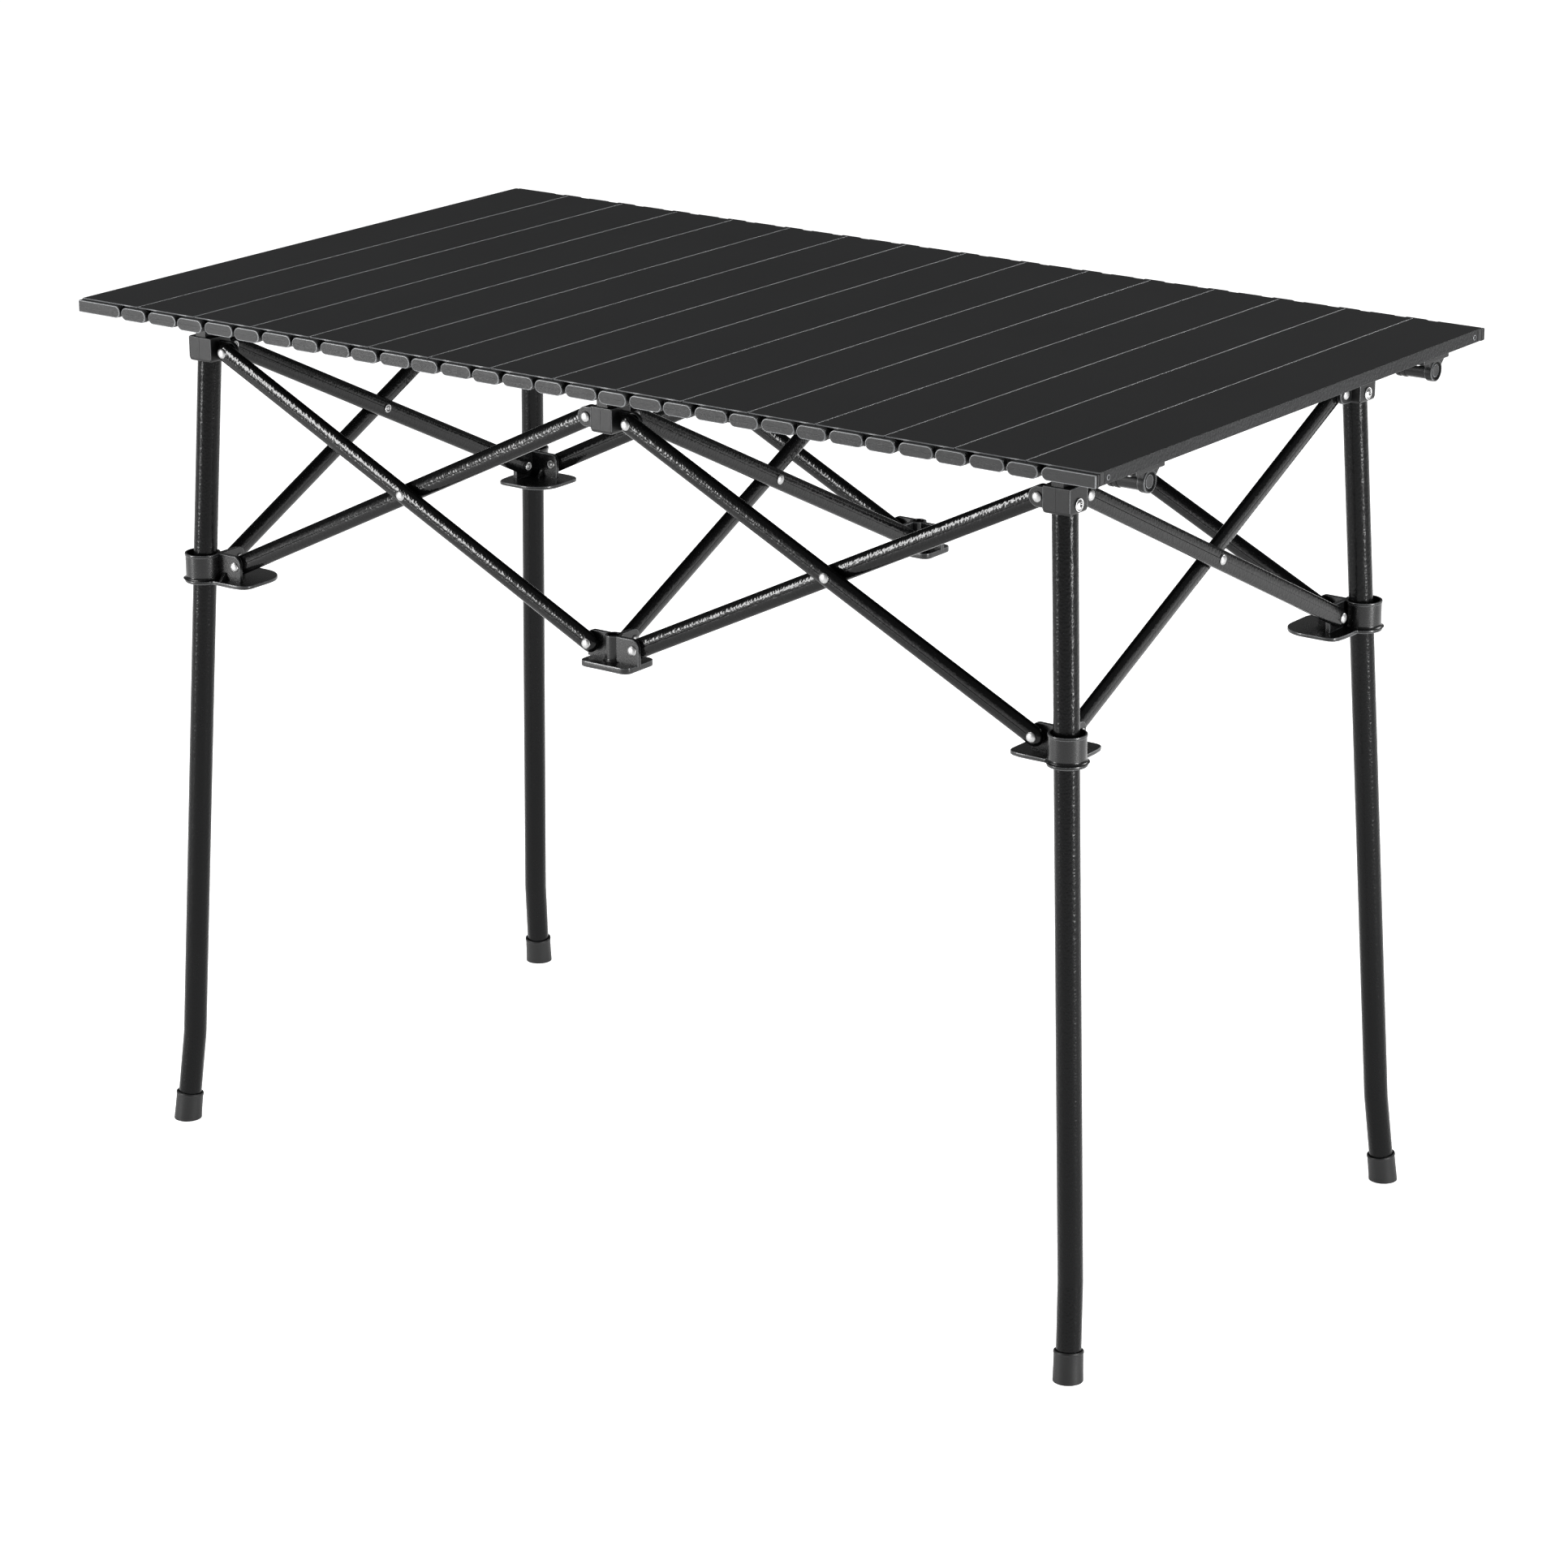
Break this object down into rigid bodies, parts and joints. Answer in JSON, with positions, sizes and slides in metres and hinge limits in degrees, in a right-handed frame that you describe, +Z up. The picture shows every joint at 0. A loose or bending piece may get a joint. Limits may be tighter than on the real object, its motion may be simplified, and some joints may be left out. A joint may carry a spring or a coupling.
{
  "type": "folding table",
  "caption": "Folding picnic table with a roll-up slatted top resting on rods over a concertina scissor frame, splayed tube legs and rubber feet.",
  "frame": {"origin": "on the floor under the middle of the top", "axes": "+X along the table's length, +Y across its depth towards the back, +Z up"},
  "size_m": [0.95, 0.55, 0.698],
  "materials": {
    "slat": "matte charcoal coating, with dark grey plastic end caps",
    "rod": "satin black coating",
    "plug": "moulded dark grey",
    "bracket": "moulded black",
    "screw": "bright zinc plated",
    "hub": "moulded black, satin",
    "collar": "moulded black, half gloss",
    "leg": "satin black powder coat",
    "foot": "black rubber",
    "bar": "gloss black hammered powder coat, with bright rivets"
  },
  "bodies": {
    "hub_front_left": {"upper_hub_front_left": "hub", "leg_screw_front_left": "screw"},
    "collar_front_left": {"collar_front_left": "collar"},
    "leg_front_left": {"leg_front_left": "leg", "foot_front_left": "foot"},
    "hub_front_right": {"upper_hub_front_right": "hub", "leg_screw_front_right": "screw"},
    "collar_front_right": {"collar_front_right": "collar"},
    "leg_front_right": {"leg_front_right": "leg", "foot_front_right": "foot"},
    "hub_back_left": {"upper_hub_back_left": "hub", "leg_screw_back_left": "screw"},
    "collar_back_left": {"collar_back_left": "collar"},
    "leg_back_left": {"leg_back_left": "leg", "foot_back_left": "foot"},
    "hub_back_right": {"upper_hub_back_right": "hub", "leg_screw_back_right": "screw"},
    "collar_back_right": {"collar_back_right": "collar"},
    "leg_back_right": {"leg_back_right": "leg", "foot_back_right": "foot"},
    "hub_front_mid": {"upper_hub_front_mid": "hub"},
    "lower_front_mid": {"lower_hub_front_mid": "collar"},
    "hub_back_mid": {"upper_hub_back_mid": "hub"},
    "lower_back_mid": {"lower_hub_back_mid": "collar"},
    "bar_front_left_outer": {"bar_front_left_outer": "bar"},
    "bar_front_left_inner": {"bar_front_left_inner": "bar"},
    "bar_front_right_outer": {"bar_front_right_outer": "bar"},
    "bar_front_right_inner": {"bar_front_right_inner": "bar"},
    "bar_back_left_outer": {"bar_back_left_outer": "bar"},
    "bar_back_left_inner": {"bar_back_left_inner": "bar"},
    "bar_back_right_outer": {"bar_back_right_outer": "bar"},
    "bar_back_right_inner": {"bar_back_right_inner": "bar"},
    "bar_left_outer": {"bar_left_outer": "bar"},
    "bar_left_inner": {"bar_left_inner": "bar"},
    "bar_mid_outer": {"bar_mid_outer": "bar"},
    "bar_mid_inner": {"bar_mid_inner": "bar"},
    "bar_right_outer": {"bar_right_outer": "bar"},
    "bar_right_inner": {"bar_right_inner": "bar"},
    "slat_01": {"slat_01": "slat", "rod_clips": "bracket"},
    "slat_02": {"slat_02": "slat"},
    "slat_03": {"slat_03": "slat"},
    "slat_04": {"slat_04": "slat"},
    "slat_05": {"slat_05": "slat"},
    "slat_06": {"slat_06": "slat"},
    "slat_07": {"slat_07": "slat"},
    "slat_08": {"slat_08": "slat"},
    "slat_09": {"slat_09": "slat"},
    "slat_10": {"slat_10": "slat"},
    "slat_11": {"slat_11": "slat"},
    "slat_12": {"slat_12": "slat"},
    "slat_13": {"slat_13": "slat"},
    "slat_14": {"slat_14": "slat"},
    "slat_15": {"slat_15": "slat"},
    "slat_16": {"slat_16": "slat", "support_rod_front": "rod", "support_rod_back": "rod", "rod_end_plugs": "plug", "rod_ring_brackets": "bracket", "bracket_screws": "screw"}
  },
  "joints": [
    {"name": "frame_fold", "type": "hinge", "parent": "hub_front_mid", "child": "bar_front_right_outer", "pos_m": [0.0205, -0.202, 0.654], "axis": [0, 1, 0], "range_deg": [0, 57]},
    {"name": "front_right_cross", "type": "hinge", "parent": "bar_front_right_outer", "child": "bar_front_right_inner", "pos_m": [0.202, -0.202, 0.566], "axis": [0, 1, 0], "range_deg": [-114.2, 0]},
    {"name": "front_right_far_bottom", "type": "hinge", "parent": "bar_front_right_outer", "child": "collar_front_right", "pos_m": [0.3835, -0.202, 0.478], "axis": [0, 1, 0], "range_deg": [-57.2, 0]},
    {"name": "front_right_far_top", "type": "hinge", "parent": "bar_front_right_inner", "child": "hub_front_right", "pos_m": [0.3835, -0.202, 0.654], "axis": [0, 1, 0], "range_deg": [0, 57.2]},
    {"name": "front_right_near_bottom", "type": "hinge", "parent": "bar_front_right_inner", "child": "lower_front_mid", "pos_m": [0.0205, -0.202, 0.478], "axis": [0, 1, 0], "range_deg": [0, 57.2]},
    {"name": "front_left_near_top", "type": "hinge", "parent": "hub_front_mid", "child": "bar_front_left_inner", "pos_m": [-0.0205, -0.202, 0.654], "axis": [0, -1, 0], "range_deg": [0, 57.2]},
    {"name": "front_left_cross", "type": "hinge", "parent": "bar_front_left_inner", "child": "bar_front_left_outer", "pos_m": [-0.202, -0.202, 0.566], "axis": [0, -1, 0], "range_deg": [-114.2, 0]},
    {"name": "front_left_far_bottom", "type": "hinge", "parent": "bar_front_left_inner", "child": "collar_front_left", "pos_m": [-0.3835, -0.202, 0.478], "axis": [0, -1, 0], "range_deg": [-57.2, 0]},
    {"name": "front_left_far_top", "type": "hinge", "parent": "bar_front_left_outer", "child": "hub_front_left", "pos_m": [-0.3835, -0.202, 0.654], "axis": [0, -1, 0], "range_deg": [0, 57.2]},
    {"name": "mid_near_top", "type": "hinge", "parent": "hub_front_mid", "child": "bar_mid_outer", "pos_m": [0, -0.1815, 0.654], "axis": [-1, 0, 0], "range_deg": [0, 57.2]},
    {"name": "mid_cross", "type": "hinge", "parent": "bar_mid_outer", "child": "bar_mid_inner", "pos_m": [0, 0, 0.566], "axis": [-1, 0, 0], "range_deg": [-114.2, 0]},
    {"name": "mid_far_bottom", "type": "hinge", "parent": "bar_mid_outer", "child": "lower_back_mid", "pos_m": [0, 0.1815, 0.478], "axis": [-1, 0, 0], "range_deg": [-57.2, 0]},
    {"name": "mid_far_top", "type": "hinge", "parent": "bar_mid_inner", "child": "hub_back_mid", "pos_m": [0, 0.1815, 0.654], "axis": [-1, 0, 0], "range_deg": [0, 57.2]},
    {"name": "back_right_near_top", "type": "hinge", "parent": "hub_back_mid", "child": "bar_back_right_inner", "pos_m": [0.0205, 0.202, 0.654], "axis": [0, 1, 0], "range_deg": [0, 57.2]},
    {"name": "back_right_cross", "type": "hinge", "parent": "bar_back_right_inner", "child": "bar_back_right_outer", "pos_m": [0.202, 0.202, 0.566], "axis": [0, 1, 0], "range_deg": [-114.2, 0]},
    {"name": "back_right_far_bottom", "type": "hinge", "parent": "bar_back_right_inner", "child": "collar_back_right", "pos_m": [0.3835, 0.202, 0.478], "axis": [0, 1, 0], "range_deg": [-57.2, 0]},
    {"name": "back_right_far_top", "type": "hinge", "parent": "bar_back_right_outer", "child": "hub_back_right", "pos_m": [0.3835, 0.202, 0.654], "axis": [0, 1, 0], "range_deg": [0, 57.2]},
    {"name": "back_left_near_top", "type": "hinge", "parent": "hub_back_mid", "child": "bar_back_left_outer", "pos_m": [-0.0205, 0.202, 0.654], "axis": [0, -1, 0], "range_deg": [0, 57.2]},
    {"name": "back_left_cross", "type": "hinge", "parent": "bar_back_left_outer", "child": "bar_back_left_inner", "pos_m": [-0.202, 0.202, 0.566], "axis": [0, -1, 0], "range_deg": [-114.2, 0]},
    {"name": "back_left_far_bottom", "type": "hinge", "parent": "bar_back_left_outer", "child": "collar_back_left", "pos_m": [-0.3835, 0.202, 0.478], "axis": [0, -1, 0], "range_deg": [-57.2, 0]},
    {"name": "back_left_far_top", "type": "hinge", "parent": "bar_back_left_inner", "child": "hub_back_left", "pos_m": [-0.3835, 0.202, 0.654], "axis": [0, -1, 0], "range_deg": [0, 57.2]},
    {"name": "right_near_top", "type": "hinge", "parent": "hub_front_right", "child": "bar_right_outer", "pos_m": [0.404, -0.1815, 0.654], "axis": [-1, 0, 0], "range_deg": [0, 57.2]},
    {"name": "right_cross", "type": "hinge", "parent": "bar_right_outer", "child": "bar_right_inner", "pos_m": [0.404, 0, 0.566], "axis": [-1, 0, 0], "range_deg": [-114.2, 0]},
    {"name": "left_near_top", "type": "hinge", "parent": "hub_front_left", "child": "bar_left_inner", "pos_m": [-0.404, -0.1815, 0.654], "axis": [-1, 0, 0], "range_deg": [0, 57.2]},
    {"name": "left_cross", "type": "hinge", "parent": "bar_left_inner", "child": "bar_left_outer", "pos_m": [-0.404, 0, 0.566], "axis": [-1, 0, 0], "range_deg": [-114.2, 0]},
    {"name": "leg_tilt_front_left", "type": "hinge", "parent": "hub_front_left", "child": "leg_front_left", "pos_m": [-0.404, -0.202, 0.652], "axis": [0.6111, -0.7916, 0], "range_deg": [0, 2.1]},
    {"name": "leg_tilt_front_right", "type": "hinge", "parent": "hub_front_right", "child": "leg_front_right", "pos_m": [0.404, -0.202, 0.652], "axis": [0.6111, 0.7916, 0], "range_deg": [0, 2.1]},
    {"name": "leg_tilt_back_left", "type": "hinge", "parent": "hub_back_left", "child": "leg_back_left", "pos_m": [-0.404, 0.202, 0.652], "axis": [-0.6111, -0.7916, 0], "range_deg": [0, 2.1]},
    {"name": "leg_tilt_back_right", "type": "hinge", "parent": "hub_back_right", "child": "leg_back_right", "pos_m": [0.404, 0.202, 0.652], "axis": [-0.6111, 0.7916, 0], "range_deg": [0, 2.1]},
    {"name": "top_lift", "type": "slide", "parent": "hub_front_mid", "child": "slat_16", "axis": [0, 0, 1], "range_m": [0, 0.162]},
    {"name": "slat_hinge_15", "type": "hinge", "parent": "slat_16", "child": "slat_15", "pos_m": [0.41563, 0, 0.698], "axis": [0, 1, 0], "range_deg": [0, 38.6]},
    {"name": "slat_hinge_14", "type": "hinge", "parent": "slat_15", "child": "slat_14", "pos_m": [0.35625, 0, 0.698], "axis": [0, 1, 0], "range_deg": [0, 39.8]},
    {"name": "slat_hinge_13", "type": "hinge", "parent": "slat_14", "child": "slat_13", "pos_m": [0.29688, 0, 0.698], "axis": [0, 1, 0], "range_deg": [0, 41.2]},
    {"name": "slat_hinge_12", "type": "hinge", "parent": "slat_13", "child": "slat_12", "pos_m": [0.2375, 0, 0.698], "axis": [0, 1, 0], "range_deg": [0, 42.6]},
    {"name": "slat_hinge_11", "type": "hinge", "parent": "slat_12", "child": "slat_11", "pos_m": [0.17813, 0, 0.698], "axis": [0, 1, 0], "range_deg": [0, 44.3]},
    {"name": "slat_hinge_10", "type": "hinge", "parent": "slat_11", "child": "slat_10", "pos_m": [0.11875, 0, 0.698], "axis": [0, 1, 0], "range_deg": [0, 46.1]},
    {"name": "slat_hinge_09", "type": "hinge", "parent": "slat_10", "child": "slat_09", "pos_m": [0.05937, 0, 0.698], "axis": [0, 1, 0], "range_deg": [0, 48.2]},
    {"name": "slat_hinge_08", "type": "hinge", "parent": "slat_09", "child": "slat_08", "pos_m": [0, 0, 0.698], "axis": [0, 1, 0], "range_deg": [0, 50.6]},
    {"name": "slat_hinge_07", "type": "hinge", "parent": "slat_08", "child": "slat_07", "pos_m": [-0.05937, 0, 0.698], "axis": [0, 1, 0], "range_deg": [0, 53.5]},
    {"name": "slat_hinge_06", "type": "hinge", "parent": "slat_07", "child": "slat_06", "pos_m": [-0.11875, 0, 0.698], "axis": [0, 1, 0], "range_deg": [0, 57.3]},
    {"name": "slat_hinge_05", "type": "hinge", "parent": "slat_06", "child": "slat_05", "pos_m": [-0.17813, 0, 0.698], "axis": [0, 1, 0], "range_deg": [0, 62]},
    {"name": "slat_hinge_04", "type": "hinge", "parent": "slat_05", "child": "slat_04", "pos_m": [-0.2375, 0, 0.698], "axis": [0, 1, 0], "range_deg": [0, 68.3]},
    {"name": "slat_hinge_03", "type": "hinge", "parent": "slat_04", "child": "slat_03", "pos_m": [-0.29688, 0, 0.698], "axis": [0, 1, 0], "range_deg": [0, 78]},
    {"name": "slat_hinge_02", "type": "hinge", "parent": "slat_03", "child": "slat_02", "pos_m": [-0.35625, 0, 0.698], "axis": [0, 1, 0], "range_deg": [0, 94.8]},
    {"name": "slat_hinge_01", "type": "hinge", "parent": "slat_02", "child": "slat_01", "pos_m": [-0.41563, 0, 0.698], "axis": [0, 1, 0], "range_deg": [0, 150]}
  ],
  "couplings": [
    {"joint": "front_right_cross", "follows": "frame_fold", "ratio": -2},
    {"joint": "front_right_far_bottom", "follows": "frame_fold", "ratio": -1},
    {"joint": "front_right_far_top", "follows": "frame_fold", "ratio": 1},
    {"joint": "front_right_near_bottom", "follows": "frame_fold", "ratio": 1},
    {"joint": "front_left_near_top", "follows": "frame_fold", "ratio": 1},
    {"joint": "front_left_cross", "follows": "frame_fold", "ratio": -2},
    {"joint": "front_left_far_bottom", "follows": "frame_fold", "ratio": -1},
    {"joint": "front_left_far_top", "follows": "frame_fold", "ratio": 1},
    {"joint": "mid_near_top", "follows": "frame_fold", "ratio": 1},
    {"joint": "mid_cross", "follows": "frame_fold", "ratio": -2},
    {"joint": "mid_far_bottom", "follows": "frame_fold", "ratio": -1},
    {"joint": "mid_far_top", "follows": "frame_fold", "ratio": 1},
    {"joint": "back_right_near_top", "follows": "frame_fold", "ratio": 1},
    {"joint": "back_right_cross", "follows": "frame_fold", "ratio": -2},
    {"joint": "back_right_far_bottom", "follows": "frame_fold", "ratio": -1},
    {"joint": "back_right_far_top", "follows": "frame_fold", "ratio": 1},
    {"joint": "back_left_near_top", "follows": "frame_fold", "ratio": 1},
    {"joint": "back_left_cross", "follows": "frame_fold", "ratio": -2},
    {"joint": "back_left_far_bottom", "follows": "frame_fold", "ratio": -1},
    {"joint": "back_left_far_top", "follows": "frame_fold", "ratio": 1},
    {"joint": "right_near_top", "follows": "frame_fold", "ratio": 1},
    {"joint": "right_cross", "follows": "frame_fold", "ratio": -2},
    {"joint": "left_near_top", "follows": "frame_fold", "ratio": 1},
    {"joint": "left_cross", "follows": "frame_fold", "ratio": -2},
    {"joint": "leg_tilt_front_left", "follows": "frame_fold", "ratio": 0.036},
    {"joint": "leg_tilt_front_right", "follows": "frame_fold", "ratio": 0.036},
    {"joint": "leg_tilt_back_left", "follows": "frame_fold", "ratio": 0.036},
    {"joint": "leg_tilt_back_right", "follows": "frame_fold", "ratio": 0.036},
    {"joint": "top_lift", "follows": "frame_fold", "m_per_rad": 0.16}
  ]
}
